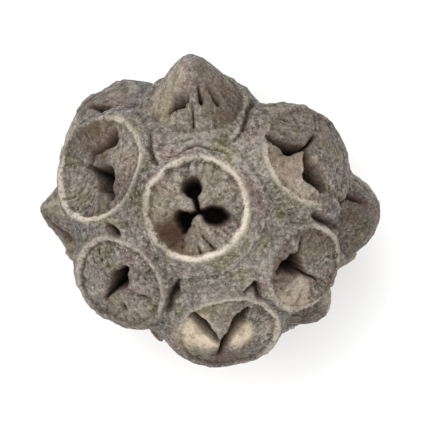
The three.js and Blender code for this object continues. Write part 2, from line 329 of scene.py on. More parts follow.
# Creases between the upper capsules, seen from above, in mm from the heart's centre.
CREASES = [
    [(-3.2, -7.4, 0.15), (-3.8, -8.9, 0.55), (-4.4, -10.6, 0.25)],
    [(-11.3, -1.3, 0.35), (-10.6, -1.9, 0.55)],
    [(4.2, -9.4, 0.05), (5.4, -8.6, 0.5), (6.2, -10.0, 0.2)],
    [(-6.9, 9.4, 0.0), (-7.1, 7.6, 0.14), (-6.4, 6.2, 0.05)],
    [(5.4, 13.2, 0.1), (4.3, 11.0, 0.1), (3.1, 9.4, -0.1)],
    [(12.5, -0.3, 0.3), (14.4, -0.9, 0.5)],
    [(-5.0, 7.3, -0.15), (-1.5, 8.0, 0.0), (2.4, 7.5, -0.1)],
    [(16.0, 1.9, 0.3), (17.3, 0.8, 0.4)],
]
# Where weather has bleached the wood or left it darker, seen from above: place, size and amount.
WEATHER = [
    (4.5, 6.2, 4.5, 0.8),
    (5.3, -5.3, 4.5, 0.6),
    (6.9, -13.4, 2.5, 0.95),
    (-0.8, 10.6, 3.0, 0.5),
    (-11.0, 14.3, 4.5, 0.4),
    (12.2, -11.8, 4.5, -0.5),
    (18.7, 1.3, 5.0, -0.3),
    (-18.8, 0.9, 3.5, -0.65),
    (-6.6, -5.3, 3.5, -0.35),
    (-9.9, -7.5, 6.0, 0.45),
    (-15.1, 2.1, 2.2, 0.2),
    (-1.4, 15.1, 5.0, 0.3),
    (11.0, -5.3, 4.0, 0.25),
    (0.0, -7.3, 4.0, 0.35),
    (1.2, -11.0, 2.2, 0.5),
    (14.7, 5.3, 2.5, 0.35),
    (-7.0, -3.0, 2.2, 0.5),
    (-10.5, 5.0, 3.5, -0.2),
]
print("capsules:", len(CAPSULES), "creases:", len(CREASES), "weather marks:", len(WEATHER))

# %% [markdown]
# ## A frame for each capsule
# The widest capsules low on the ball show their lower rims, which are bleached, with pale valves inside.
#
# A shape is easier to describe in a frame of its own. Here the origin is the middle of the rim, `axis`
# points out of the capsule, and `away` and `side` span the plane of the rim. A capsule grows from a
# point on the stalk, low in the ball, so its axis leans a little more upright than its place.

# %% Frames
def direction(azimuth, polar):
    """A unit vector, from an angle round +Z and an angle down from it."""
    a = math.radians(azimuth)
    p = math.radians(polar)
    return np.array((math.sin(p) * math.cos(a), math.sin(p) * math.sin(a), math.cos(p)))


LOW = 93  # a capsule whose place is further down than this many degrees is low on the ball
for capsule in WIDEST_RING:
    if capsule["place"][1] > LOW:
        capsule["bleach"] += [(0, 0.8), (50, 0.7), (310, 0.7)]
        capsule["pale"] += [(330, 0.45), (25, 0.3)]

for capsule in CAPSULES:
    azimuth, polar, reach = capsule["place"]
    towards = direction(azimuth, polar)
    growth = towards * reach - np.array((0, 0, STALK_ROOT))
    length = np.linalg.norm(growth)
    tilt = math.degrees(math.acos(growth[2] / length)) + capsule.get("lean", 0)
    capsule["towards"] = towards
    capsule["centre"] = towards * reach
    capsule["length"] = length
    facing = azimuth + capsule.get("swing", 0)
    capsule["axis"] = direction(facing, tilt)
    capsule["side"] = direction(facing + 90, 90)
    capsule["away"] = np.cross(capsule["side"], capsule["axis"])
print("lengths in mm:", [round(capsule["length"], 1) for capsule in CAPSULES])

# %% [markdown]
# ## Two outlines that make a capsule
# Cut a capsule through the middle and two lines show. The face runs from the middle of the disc, over
# the groove, to the rim. The wall runs from the rim down to the stem. Both could be curves with handles,
# but a few points are easier to change. They are rounded by averaging over a short stretch, because dry
# wood has no sharp corners.

# %% Face and wall
DISC_EDGE = 0.87
FACE_SAMPLES = np.linspace(0, 1.4, 281)
WALL_SAMPLES = np.linspace(-24, 1, 501)


def rounded(values, steps):
    """The same line with its corners averaged away over a number of samples."""
    kernel = np.hanning(steps + 2)[1:-1]
    padded = np.pad(values, steps // 2, mode="edge")
    return np.convolve(padded, kernel / kernel.sum(), mode="valid")[: len(values)]


def face_line(dome, fullness, groove):
    """Heights over the rim, from the capsule's middle outwards."""
    share = np.clip(FACE_SAMPLES / DISC_EDGE, 0, 1)
    disc = -groove + (dome + groove) * (1 - share**fullness)
    lip_shares = [DISC_EDGE, 0.92, 0.96, 1.0, 1.4]
    lip_heights = [-groove, -0.1 * groove, 0.0, -0.06, -0.15]
    lip = np.interp(FACE_SAMPLES, lip_shares, lip_heights)
    return rounded(np.where(FACE_SAMPLES < DISC_EDGE, disc, lip), 7)


def wall_line(length):
    """Shares of the rim's radius, from the stem up to the rim."""
    heights = [2 - length, -0.6 * length, -0.3 * length, -2.3, -0.9, -0.15, 1]
    shares = [0.5, 1.0, 1.3, 1.22, 1.1, 1.0, 0.97]
    return rounded(np.interp(WALL_SAMPLES, heights, shares), 21)


for capsule in CAPSULES:
    capsule["face"] = face_line(capsule["dome"], capsule["round"], capsule["groove"])
    capsule["wall"] = wall_line(capsule["length"])
print("highest point of each face in mm:", [round(capsule["face"].max(), 1) for capsule in CAPSULES])

# %% [markdown]
# ## How far out is the surface?
# For a ray from the heart, the question is where it leaves the wood. The ray is walked from the outside
# in until it meets a capsule, and the last step is then halved a few times. Taking the largest answer
# would leave a sharp crease between two capsules. A smooth maximum fills the crease, as fused wood does,
# and it fills less on the underside, where the cups stand freer.

# %% Rays
RAY_START = 24.0
RAY_STEP = 0.5
RAY_STEPS = 38
HALVINGS = 8
LOOK = math.cos(math.radians(64))  # a capsule is looked for only this near its own direction
CORNER = 0.22  # rounding between face and wall, mm
FUSING = 2.0  # how widely neighbours run into each other, mm
FUSING_BELOW = 0.7  # and on the underside


def smooth_max(a, b, width):
    """The larger of two values, blended where they are closer than the width."""
    overlap = np.maximum(width - np.abs(a - b), 0)
    return np.maximum(a, b) + overlap * overlap / (4 * width)


def local_place(capsule, points):
    """Places in the capsule's own frame: along away, side and axis."""
    offset = points - capsule["centre"]
    return offset @ capsule["away"], offset @ capsule["side"], offset @ capsule["axis"]


def outside_by(capsule, points):
    """How far points are outside a capsule, negative inside it, in mm."""
    u, v, h = local_place(capsule, points)
    share = np.hypot(u, v) / capsule["rim"]
    over_face = h - np.interp(share, FACE_SAMPLES, capsule["face"])
    past_wall = (share - np.interp(h, WALL_SAMPLES, capsule["wall"])) * capsule["rim"]
    under_stem = 2 - capsule["length"] - h
    return np.maximum(smooth_max(over_face, past_wall, CORNER), under_stem)


def reach_of(capsule, rays, warp):
    """The distance at which each ray leaves a capsule, or 0 where it misses."""
    near = np.flatnonzero(rays @ capsule["towards"] > LOOK)
    inner = np.zeros(len(near))
    waiting = np.arange(len(near))
    for step in range(RAY_STEPS):
        radius = RAY_START - step * RAY_STEP
        chosen = near[waiting]
        inside = outside_by(capsule, rays[chosen] * radius + warp[chosen]) < 0
        inner[waiting[inside]] = radius
        waiting = waiting[~inside]
    met = np.flatnonzero(inner)
    chosen = near[met]
    low = inner[met]
    high = low + RAY_STEP
    for _ in range(HALVINGS):
        middle = (low + high) / 2
        inside = outside_by(capsule, rays[chosen] * middle[:, None] + warp[chosen]) < 0
        low = np.where(inside, middle, low)
        high = np.where(inside, high, middle)
    reach = np.zeros(len(rays))
    reach[chosen] = low
    return reach


def heart_reach(rays):
    """The distance to the surface of the fused wood in the middle."""
    height = np.where(rays[:, 2] > 0, HEART_TOP, HEART_BOTTOM)
    across = np.hypot(rays[:, 0], rays[:, 1]) / HEART_RADIUS
    along = np.abs(rays[:, 2]) / height
    return (across**HEART_FULLNESS + along**HEART_FULLNESS) ** (-1 / HEART_FULLNESS)


print("heart along x, y and z in mm:", heart_reach(np.eye(3)).round(1))

# %% [markdown]
# ## Noise for numbers in arrays
# No two capsules are alike, and nothing on them is quite round. Noise bends the shapes out of true. It
# could be a Displace modifier, but the formula needs it too. Blender's noise takes one point at a time,
# so a small helper walks through the points. `scale` is the number of lumps in a millimetre.
#
# Vector noise takes its seed from the clock unless one is set, and the ball would be bent a little
# differently each time. With a seed it is always the same ball.

# %% Noise
SEED = 1
noise.seed_set(SEED)


def lumps(points, scale, octaves=1, shift=0.0):
    """Smooth noise of about -1 to 1 at each point."""
    moved = points * scale + shift
    if octaves == 1:
        return np.array([noise.noise(Vector(p)) for p in moved])
    return np.array([noise.fractal(Vector(p), 1.0, 2.0, octaves) for p in moved])


def drift(points, scale):
    """A smooth random vector at each point."""
    return np.array([noise.noise_vector(Vector(p * scale)) for p in points])


def smooth_step(low, high, values):
    """0 below low, 1 above high, and an S curve between them."""
    t = np.clip((values - low) / (high - low), 0, 1)
    return t * t * (3 - 2 * t)


print("steps at a tenth, a half and nine tenths:", smooth_step(0, 1, np.array((0.1, 0.5, 0.9))).round(2))

# %% [markdown]
# ## The torn stalk
# Underneath, the stalk has broken off in a hollow and left stubs of its strands. A noisy dent would look
# like soil, so each stub is the flat end of a short cylinder that a downward ray hits. Noise splinters
# the ends, and a cleft runs round them where the bark has come away.

# %% Stalk strands
STRANDS = [  # x, y, radius and depth, in mm from the heart's centre
    (-2.4, 0.9, 1.9, 10.9),
    (0.2, 1.7, 1.7, 11.5),
    (2.5, 0.6, 1.8, 10.6),
    (1.3, -1.6, 1.8, 11.3),
    (-1.3, -1.5, 1.7, 11.7),
]
BELOW = -0.7  # rays that point more steeply down than this can meet the scar
SCAR_RADIUS = 4.3


def strand_reach(rays):
    """The distance at which downward rays leave the strands, or 0 where they miss."""
    reach = np.zeros(len(rays))
    mine = np.flatnonzero(rays[:, 2] < BELOW)
    down = -rays[mine, 2]
    for x, y, radius, depth in STRANDS:
        hit = rays[mine] / down[:, None] * depth
        distance = np.hypot(hit[:, 0] - x, hit[:, 1] - y) + 0.9 * lumps(hit, 0.5, shift=depth)
        full = smooth_step(radius + 0.2, radius - 0.3, distance)
        reach[mine] = np.maximum(reach[mine], depth / down * full)
    return reach


def scar_of(rays, base):
    """How torn each place is, from 0 to 1, and how far the tear lifts it, in mm."""
    torn = np.zeros(len(rays))
    lift = np.zeros(len(rays))
    mine = np.flatnonzero(rays[:, 2] < BELOW)
    below = base[mine]
    from_axis = np.hypot(below[:, 0], below[:, 1]) + 1.3 * lumps(below, 0.3)
    torn[mine] = smooth_step(SCAR_RADIUS + 0.3, SCAR_RADIUS - 0.5, from_axis)
    splinters = np.abs(lumps(below * (1, 1, 0.2), 0.75, octaves=3))
    cleft = smooth_step(1.0, 0.1, np.abs(from_axis - SCAR_RADIUS))
    lift[mine] = torn[mine] * (1.8 * splinters - 0.5) - 1.4 * cleft
    return torn, lift


print("strands:", len(STRANDS), "deepest in mm:", max(depth for _, _, _, depth in STRANDS))

# %% [markdown]
# ## Slits and valves
# A knife could cut each slit out of the mesh. Here the distance to the slit's outline is used instead,
# because it does three jobs. It sinks the hole, it bends the edges of the valves down beside it, and later
# it tells the material where the painted shade of the slit begins. A thin crack has no room to go deep, so
# the depth grows with the width by itself.

# %% Slits
SLIT_DEPTH = 4.0
SWELL = 1.8  # how late a slit widens between two of its points
FAR = 3.0  # a distance that counts as nowhere near a slit, mm


def stretch_distance(u, v, start, end):
    """The distance to one stretch of a slit, between two points with their half widths."""
    length_u, length_v = end[0] - start[0], end[1] - start[1]
    length = math.hypot(length_u, length_v)
    along = ((u - start[0]) * length_u + (v - start[1]) * length_v) / length
    beside = ((v - start[1]) * length_u - (u - start[0]) * length_v) / length
    t = np.clip(along / length, 0, 1)
    eased = t**SWELL if end[2] > start[2] else 1 - (1 - t) ** SWELL
    return np.hypot(along - t * length, beside) - (start[2] + (end[2] - start[2]) * eased)


def slit_distance(chains, u, v):
    """The distance to the nearest slit's outline in mm, negative inside a slit."""
    nearest = np.full(len(u), FAR)
    for chain in chains:
        for start, end in zip(chain, chain[1:]):
            nearest = np.minimum(nearest, stretch_distance(u, v, start, end))
    return nearest


def marked(turn, marks, width):
    """How strongly each direction round a capsule is marked, by marks of a direction and an amount."""
    strength = np.zeros(len(turn))
    for angle, amount in marks:
        off = np.abs((turn - math.radians(angle) + math.pi) % (2 * math.pi) - math.pi)
        strength = np.maximum(strength, amount * smooth_step(width, width * 0.3, off))
    return strength


middle = slit_distance(TOP_CAPSULE["slits"], np.zeros(1), np.zeros(1))
print("middle of the top disc to its nearest slit in mm:", middle.round(2))

# %% [markdown]
# ## Relief and wear of one capsule
# A disc isn't smooth. It has wrinkles that run outwards, valves of uneven height whose edges have fallen
# in beside the slits, and a chipped rim. All of it could be bump in the material, but the larger forms
# would then be missing from the outline and from the mesh.

# %% Relief and wear
WRINKLE = 0.22  # depth of a wrinkle, mm
UNEVEN = 0.3  # how much the valves differ in height, mm
FALLEN = 0.35  # how far the edge of a valve has fallen in beside a slit, mm
FALLEN_WIDTH = 0.4  # and how wide this edge is
MARK_WIDTH = 0.95  # how far round the capsule a pale or stained mark reaches, radians


def relief_of(capsule, number, turn, share, gap):
    """How far carving lifts a capsule's surface, in mm."""
    round_place = np.stack((np.cos(turn), np.sin(turn), share * 0.35 + number * 3.7), axis=1)
    wrinkles = lumps(round_place, 3.6, shift=number * 1.9)
    tops = lumps(round_place, 1.1, shift=number * 5.3)
    chips = lumps(round_place, 4.5, octaves=2, shift=number * 2.3)
    disc = smooth_step(0.93, 0.85, share)
    wrinkle = WRINKLE * smooth_step(0.12, 0.0, np.abs(wrinkles)) * smooth_step(0.3, 0.6, share)
    uneven = UNEVEN * tops * smooth_step(0.0, 0.4, share)
    fallen = FALLEN * np.exp(-np.maximum(gap, 0) / FALLEN_WIDTH)
    hole = SLIT_DEPTH * smooth_step(0.15, -0.27, gap)
    rim = smooth_step(0.82, 0.95, share) * smooth_step(1.15, 1.0, share)
    chipped = rim * (0.2 * tops + 0.16 * chips)
    filled = smooth_step(0.5, DISC_EDGE, share) * smooth_step(0.95, DISC_EDGE, share)
    filled = filled * capsule["groove"] * marked(turn, capsule.get("worn", []), 1.2)
    return disc * (uneven - wrinkle - fallen - hole) + chipped + filled


def wear_of(capsule, u, v, turn, share):
    """How pale and how stained a capsule's disc is, and how bleached its rim."""
    wedge = smooth_step(0.06, 0.2, share) * smooth_step(0.97, 0.84, share)
    pale = marked(turn, capsule["pale"], MARK_WIDTH) * wedge
    for patch_u, patch_v, size, amount in capsule.get("patch", []):
        away = np.hypot(u - patch_u, v - patch_v)
        pale += amount * smooth_step(size, size * 0.5, away)
    stain = marked(turn, capsule["stain"], MARK_WIDTH) * wedge
    return pale, stain, marked(turn, capsule["bleach"], 1.0)


bare = [capsule["place"] for capsule in CAPSULES if not capsule.get("worn")]
print("capsules with a whole groove inside the rim:", len(bare))

# %% [markdown]
# ## Grain and weather
# The walls have fibres that run along the capsule, and all of the wood has knobs and grit. Rain and sun
# have bleached some parts of the top more than others, which a table of round marks describes.

# %% Grain and weather
def grain_of(base, grain, across):
    """How far fibres, knobs and grit lift each place, in mm."""
    wall = smooth_step(0.98, 1.1, across)
    fibres = np.abs(lumps(grain * (1.0, 1.0, 0.16), 0.95))
    knobs = lumps(base, 0.85, octaves=3)
    grit = lumps(base, 2.1, octaves=2)
    return wall * (0.3 * fibres - 0.12) + (0.08 + 0.06 * wall) * knobs + (0.09 - 0.02 * wall) * grit


def weather_of(base, above):
    """How bleached each place is, or how dark where the number is below zero."""
    weather = np.zeros(len(base))
    for x, y, size, amount in WEATHER:
        away = np.hypot(base[:, 0] - x, base[:, 1] - y)
        weather += above * amount * smooth_step(size, size * 0.2, away)
    return weather


print("weather in the middle of the top:", weather_of(np.zeros((1, 3)), np.ones(1)).round(2))

# %% [markdown]
# ## The whole surface
# `surface` takes rays and gives back places and the values that the material needs: `across`, the share
# of the rim's radius; `slit`, the distance to a slit or crease; `grain`, the place in the capsule's own
# frame, so that cracks can run outwards on the discs and fibres can run along the walls; how pale,
# stained or bleached each place is; and where the stalk's scar is torn. Blender's own texture spaces
# know nothing of capsules, so these values are carried by the mesh.

# %% Surface
WARP = 0.28  # how far the regular shape is bent out of true, mm
TYPICAL = 17.0  # about how far the surface is from the heart's centre, mm
OWN = 0.9  # a capsule still counts at a point this far under the surface, mm
STEEPEST = 0.45  # lift along a ray grows on a slope, but not past this one
CREASE_DEPTH = 1.2  # mm


def fused_radius(rays, reaches):
    """The distance to the heart, the strands and all the capsules, run into each other."""
    radius = smooth_max(heart_reach(rays), strand_reach(rays), 0.6)
    fusing = FUSING_BELOW + (FUSING - FUSING_BELOW) * smooth_step(-0.3, 0.3, rays[:, 2])
    for reach in reaches:
        radius = smooth_max(radius, reach, fusing)
    return radius


def surface(rays):
    """Places of the surface along the rays, in mm from the heart, and what the material needs there."""
    at_size = rays * TYPICAL
    warp = drift(at_size, 0.22) * WARP + drift(at_size, 0.75) * WARP * 0.4
    reaches = np.array([reach_of(capsule, rays, warp) for capsule in CAPSULES])
    radius = fused_radius(rays, reaches)
    owner = reaches.argmax(axis=0)
    base = rays * radius[:, None]

    across = np.full(len(rays), 1.5)
    slit = np.full(len(rays), FAR)
    slope = np.ones(len(rays))
    grain = np.zeros((len(rays), 3))
    pale, stain, bleach, lift = np.zeros((4, len(rays)))
    for index, capsule in enumerate(CAPSULES):
        mine = np.flatnonzero((owner == index) & (reaches[index] > radius - OWN))
        u, v, h = local_place(capsule, base[mine] + warp[mine])
        share = np.hypot(u, v) / capsule["rim"]
        over_face = h - np.interp(share, FACE_SAMPLES, capsule["face"])
        share = np.where(over_face < -1.2, np.maximum(share, 1.12), share)
        gap = np.where(share < 0.97, slit_distance(capsule["slits"], u, v), FAR)
        turn = np.arctan2(v, u)
        across[mine] = share
        slit[mine] = gap
        grain[mine] = np.stack((u, v, h), axis=1)
        slope[mine] = np.maximum(rays[mine] @ capsule["axis"], STEEPEST)
        pale[mine], stain[mine], bleach[mine] = wear_of(capsule, u, v, turn, share)
        lift[mine] = relief_of(capsule, index, turn, share, gap)

    above = rays[:, 2] > 0
    bent = base + warp * 2.5
    crease = np.where(above & (across > 0.9), slit_distance(CREASES, bent[:, 0], bent[:, 1]), FAR)
    lift -= CREASE_DEPTH * smooth_step(0.5, -0.4, crease) * slope
    # creases share the slits' colours, so they get the slits' painted shade and shadow
    slit = np.minimum(slit, crease + 0.13)
    under_slit = smooth_step(0.1, -0.32, slit)
    torn, torn_lift = scar_of(rays, base)
    radius = radius + lift / slope + grain_of(base, grain, across) * (1 - 0.7 * under_slit) + torn_lift
    values = dict(across=across, slit=slit, grain=grain, pale=pale, stain=stain, bleach=bleach)
    values["torn"] = torn
    values["weather"] = weather_of(base, above)
    return rays * radius[:, None], values


places, values = surface(np.eye(3))
print("surface along x, y and z in mm:", places.diagonal().round(1))

# %% [markdown]
# ## Where the mesh needs more faces
# An icosphere spreads its vertices evenly. On the steep walls of cups and slits they end up far apart.
# One more level everywhere would give four times the faces, most of them where nothing happens. So only
# the long edges are cut in two, and the new vertices are pushed out by the same formula. Beside slits
# and rims, shorter edges are cut too.

# %% Start from a sphere
START_LEVEL = 7
MARGIN = 0.02  # how far the mesh stays inside the solid's box, mm

shape = bmesh.new()
bmesh.ops.create_icosphere(shape, subdivisions=START_LEVEL, radius=1)
heart = np.array(HEART)
box_low = np.array(cad_low) / MM - heart + MARGIN
box_high = np.array(cad_high) / MM - heart - MARGIN


def settle(shape):
    """Push every vertex to the surface along its own ray, and return what the material needs."""
    rays = np.array([vertex.co for vertex in shape.verts])
    rays /= np.linalg.norm(rays, axis=1)[:, None]
    places, values = surface(rays)
    for vertex, place in zip(shape.verts, np.clip(places, box_low, box_high)):
        vertex.co = place
    return values


print("sphere:", len(shape.verts), "vertices")

# %% Cut the long edges
LONG_EDGES = ((0.62, 0.50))  # longest edge allowed in each round, mm
FINE_EDGE = 0.34  # longest edge allowed beside a slit or a rim, mm
BESIDE_SLIT = 0.45  # mm
RIM_SHARES = (0.84, 1.02)  # the edge of the disc and the outside of the rim

for longest in LONG_EDGES:
    values = settle(shape)
    shape.verts.index_update()
    beside_rim = (values["across"] > RIM_SHARES[0]) & (values["across"] < RIM_SHARES[1])
    fine = beside_rim | (np.abs(values["slit"]) < BESIDE_SLIT)
    long_edges = []
    for edge in shape.edges:
        a, b = edge.verts
        limit = FINE_EDGE if fine[a.index] and fine[b.index] else longest
        if (a.co - b.co).length > limit:
            long_edges.append(edge)
    bmesh.ops.subdivide_edges(shape, edges=long_edges, cuts=1)
    bmesh.ops.triangulate(shape, faces=shape.faces)
    print("edges cut:", len(long_edges), "faces now:", len(shape.faces))
values = settle(shape)

# %% Finish the mesh
bmesh.ops.recalc_face_normals(shape, faces=shape.faces)
bmesh.ops.scale(shape, vec=(MM, MM, MM), verts=shape.verts)
bmesh.ops.translate(shape, vec=HEART * MM, verts=shape.verts)
head_mesh = bpy.data.meshes.new("seed_head")
shape.to_mesh(head_mesh)
shape.free()
head_mesh.shade_smooth()
head = bpy.data.objects.new("seed_head", head_mesh)
scene.collection.objects.link(head)
print("seed head:", len(head_mesh.vertices), "vertices,", len(head_mesh.polygons), "faces")

# %% [markdown]
# ## Edges and hollows
# The material makes what stands out lighter, paints shade into the hollows, and darkens the valleys
# between capsules. A renderer could find such places, but an exported model would lose them. So each
# vertex is compared with the average of its neighbours, then of their neighbours, and so on. A vertex that
# stands outside this average is on an edge, and one inside it is in a hollow. The more rounds of
# averaging, the wider the forms it sees: an edge, a hollow or a whole valley between capsules.

# %% Measure edges and hollows
EDGE_ROUNDS = 3
HOLLOW_ROUNDS = 14
VALLEY_ROUNDS = 80


def spread(values, links, rounds):
    """Average values over linked vertices, a number of times."""
    first, second = links
    count = len(values)
    degree = np.bincount(first, minlength=count) + np.bincount(second, minlength=count)
    for _ in range(rounds):
        total = np.zeros_like(values)
        for axis in range(values.shape[1]):
            total[:, axis] = np.bincount(first, values[second, axis], count)
            total[:, axis] += np.bincount(second, values[first, axis], count)
        values = 0.5 * values + 0.5 * total / degree[:, None]
    return values


count = len(head_mesh.vertices)
places = np.zeros(count * 3)
normals = np.zeros(count * 3)
links = np.zeros(len(head_mesh.edges) * 2, dtype=int)
head_mesh.vertices.foreach_get("co", places)
head_mesh.vertices.foreach_get("normal", normals)
head_mesh.edges.foreach_get("vertices", links)
places = places.reshape(-1, 3) / MM
normals = normals.reshape(-1, 3)
links = links.reshape(-1, 2).T
near_average = spread(places, links, EDGE_ROUNDS)
far_average = spread(near_average, links, HOLLOW_ROUNDS)
wide_average = spread(far_average, links, VALLEY_ROUNDS)
values["edge"] = ((places - near_average) * normals).sum(axis=1)
values["hollow"] = ((far_average - places) * normals).sum(axis=1)
values["valley"] = ((wide_average - places) * normals).sum(axis=1)
print("hollow in mm, 5% to 95%:", np.round(np.percentile(values["hollow"], (5, 50, 95)), 2))
print("edge in mm, 5% to 95%:", np.round(np.percentile(values["edge"], (5, 50, 95)), 3))

# %% Give the values to the mesh
for name, numbers in values.items():
    kind, field = ("FLOAT_VECTOR", "vector") if numbers.ndim == 2 else ("FLOAT", "value")
    attribute = head_mesh.attributes.new(name, kind, "POINT")
    attribute.data.foreach_set(field, numbers.ravel().astype(np.float32))
print("attributes:", ", ".join(values))

# %% [markdown]
# ## Shader maths as Python
# A material is a tree of nodes. Writing `a * b + 1` is easier to read than wiring three boxes, so
# `Number` wraps a socket and its operators add Math nodes. `Finish` adds any other node by one method.

# %% Numbers and colours
def screen(red, green, blue):
    """A colour as a paint chart gives it, 0 to 255, turned into the light that a shader works in."""
    parts = [part / 255 for part in (red, green, blue)]
    return tuple(part / 12.92 if part < 0.04 else ((part + 0.055) / 1.055) ** 2.4 for part in parts) + (1,)


class Number:
    """A number inside a material. Arithmetic on it adds Math nodes."""

    def __init__(self, finish, socket):
        self.finish = finish
        self.socket = socket

    def math(self, operation, *others):
        inputs = dict(enumerate((self, *others)))
        return self.finish.number("ShaderNodeMath", {"operation": operation}, inputs)

    def __add__(self, other):
        return self.math("ADD", other)

    __radd__ = __add__

    def __mul__(self, other):
        return self.math("MULTIPLY", other)

    __rmul__ = __mul__

    def __sub__(self, other):
        return self.math("SUBTRACT", other)

    def __rsub__(self, other):
        return self.math("MULTIPLY", -1).math("ADD", other)

    def larger(self, other):
        return self.math("MAXIMUM", other)


print("the wood's middle grey as light:", [round(part, 3) for part in screen(122, 115, 107)[:3]])


# %% Finish
class Finish:
    """A material and the nodes that make its finish."""

    def __init__(self, name):
        self.material = bpy.data.materials.new(name)
        self.material.use_nodes = True
        self.tree = self.material.node_tree
        self.tree.nodes.clear()

    def node(self, kind, settings, inputs):
        """Add a node, set it up, and give its sockets values or links."""
        made = self.tree.nodes.new(kind)
        for key, value in settings.items():
            setattr(made, key, value)
        for key, value in inputs.items():
            socket = value.socket if isinstance(value, Number) else value
            if isinstance(socket, bpy.types.NodeSocket):
                self.tree.links.new(socket, made.inputs[key])
            else:
                made.inputs[key].default_value = socket
        return made

    def number(self, kind, settings, inputs, output=0):
        return Number(self, self.node(kind, settings, inputs).outputs[output])

    def attribute(self, name):
        return self.number("ShaderNodeAttribute", {"attribute_name": name}, {}, "Fac")

    def vector(self, name):
        return self.node("ShaderNodeAttribute", {"attribute_name": name}, {}).outputs["Vector"]

    def vector_math(self, operation, *vectors):
        inputs = dict(enumerate(vectors))
        return self.node("ShaderNodeVectorMath", {"operation": operation}, inputs).outputs[0]

    def noise(self, vector, scale, detail=2.0, roughness=0.5, distortion=0.0):
        inputs = {"Vector": vector, "Scale": scale, "Detail": detail, "Roughness": roughness}
        inputs["Distortion"] = distortion
        return self.number("ShaderNodeTexNoise", {}, inputs, "Fac")

    def step(self, value, low, high):
        """0 at low, 1 at high, and smooth between, whichever of them is the larger."""
        settings = {"interpolation_type": "SMOOTHSTEP"}
        inputs = {"Value": value, "From Min": low, "From Max": high}
        return self.number("ShaderNodeMapRange", settings, inputs, "Result")

    def mix(self, amount, under, over):
        """One colour over another."""
        inputs = {"Factor": amount, 6: under, 7: over}
        return self.node("ShaderNodeMix", {"data_type": "RGBA"}, inputs).outputs[2]

    def shade(self, amount, colour, by):
        """A colour multiplied by another."""
        inputs = {"Factor": amount, 6: colour, 7: by}
        settings = {"data_type": "RGBA", "blend_type": "MULTIPLY"}
        return self.node("ShaderNodeMix", settings, inputs).outputs[2]


# %% [markdown]
# ## Weathered wood
# Old gumnuts are grey like driftwood, with brown and olive patches, dark pores and pale grit. Rims are
# bleached to cream and broken valves show tan wood. The slits get near-black painted shadow, and the
# hollows, grooves and creases get painted shade. A painted picture could show all this, but it would blur
# close up. So the colours are laid over each other from the widest patches to the finest grit, as a
# painter would. Each layer is placed by noise or by what the mesh knows.

# %% What the wood can ask
wood = Finish("weathered gumnut wood")
place = wood.node("ShaderNodeTexCoord", {}, {}).outputs["Object"]
grain = wood.vector("grain")
across = wood.attribute("across")
slit = wood.attribute("slit")
edge = wood.attribute("edge")
hollow = wood.attribute("hollow")
bleach = wood.attribute("bleach")
pale = wood.attribute("pale")
stain = wood.attribute("stain")
torn = wood.attribute("torn")
valley = wood.attribute("valley")
weather = wood.attribute("weather")
height = wood.number("ShaderNodeSeparateXYZ", {}, {"Vector": place}, "Z")
flat_place = wood.vector_math("MULTIPLY", place, (1, 1, 0))
from_axis = wood.number("ShaderNodeVectorMath", {"operation": "LENGTH"}, {0: flat_place}, "Value")

on_disc = wood.step(across, 0.93, 0.87)
on_wall = wood.step(across, 0.99, 1.08)
beside = wood.step(height, 0.0165, 0.0105)
lower = wood.step(height, 0.014, 0.007)
print("nodes for places:", len(wood.tree.nodes))

# %% [markdown]
# ## Noises
# Five noises, from patches of 5 mm to specks of a quarter of a millimetre, are shared by all the layers.
# Cracks on a disc run outwards, so their noise sees the direction round the capsule and little of the
# share. Fibres on a wall run along the capsule, so theirs sees little of the height.

# %% Noises
patches = wood.noise(place, 190, 2.0, 0.5)
tint = wood.noise(place, 330, 2.0, 0.55, 0.4)
mottle = wood.noise(place, 900, 3.0, 0.6)
grit = wood.noise(place, 2600, 2.0, 0.65)
specks = wood.noise(place, 4200, 1.0, 0.5)

around = wood.vector_math("NORMALIZE", wood.vector_math("MULTIPLY", grain, (1, 1, 0)))
stretched = wood.vector_math("MULTIPLY", grain, (0.10, 0.10, 0.35))
outwards = wood.vector_math("ADD", around, stretched)
radial = wood.noise(outwards, 7.0, 3.0, 0.6)
fine_radial = wood.noise(outwards, 19.0, 1.0, 0.5)
fibres = wood.noise(wood.vector_math("MULTIPLY", grain, (1, 1, 0.14)), 2.4, 3.0, 0.6)
print("nodes with noises:", len(wood.tree.nodes))

# %% [markdown]
# ## The ground tone
# One number, `tone`, says how light the grey wood is. Grit counts most, then mottling and wide patches.
# Edges are lighter, hollows are darkened as painted shade, and the weather marks shift it. A ramp turns it
# into five greys.

# %% Ground tone
tone = mottle * 0.26 + grit * 0.54 + patches * 0.20
tone = tone + (fibres - 0.5) * on_wall * 0.22 + (radial - 0.5) * on_disc * 0.20
# edges lighter; hollows darker as painted shade
tone = tone + edge * 1.0 - wood.step(hollow, 0.05, 0.45) * 0.085 - 0.004
tone = tone + on_wall * 0.030 + on_disc * 0.012 + on_wall * bleach * 0.015 + weather * 0.12
tone = tone + beside * (patches - 0.5) * 0.30

TONES = [
    (0.32, screen(50, 43, 38)),
    (0.42, screen(78, 71, 64)),
    (0.50, screen(101, 94, 87)),
    (0.58, screen(122, 115, 107)),
    (0.70, screen(156, 148, 138)),
]
ramp = wood.node("ShaderNodeValToRGB", {}, {"Fac": tone})
while len(ramp.color_ramp.elements) < len(TONES):
    ramp.color_ramp.elements.new(0.5)
for element, (stop, colour) in zip(ramp.color_ramp.elements, TONES):
    element.position = stop
    element.color = colour
colour = ramp.outputs["Color"]
print("tones:", len(TONES))

# %% [markdown]
# ## Tints, worn valves and stains
# The grey leans to olive in some patches and to rose in others. Walls far from the middle are a colder
# grey, because they get more rain. Then come the marks from the capsules' table, broken up by mottling.

# %% Tints and marks
OLIVE = screen(224, 224, 184)
ROSE = screen(240, 216, 216)
COLD = screen(228, 234, 250)
WORN_VALVE = screen(203, 186, 161)
BROWN_STAIN = screen(74, 52, 38)
DARK_PATCH = screen(56, 37, 27)

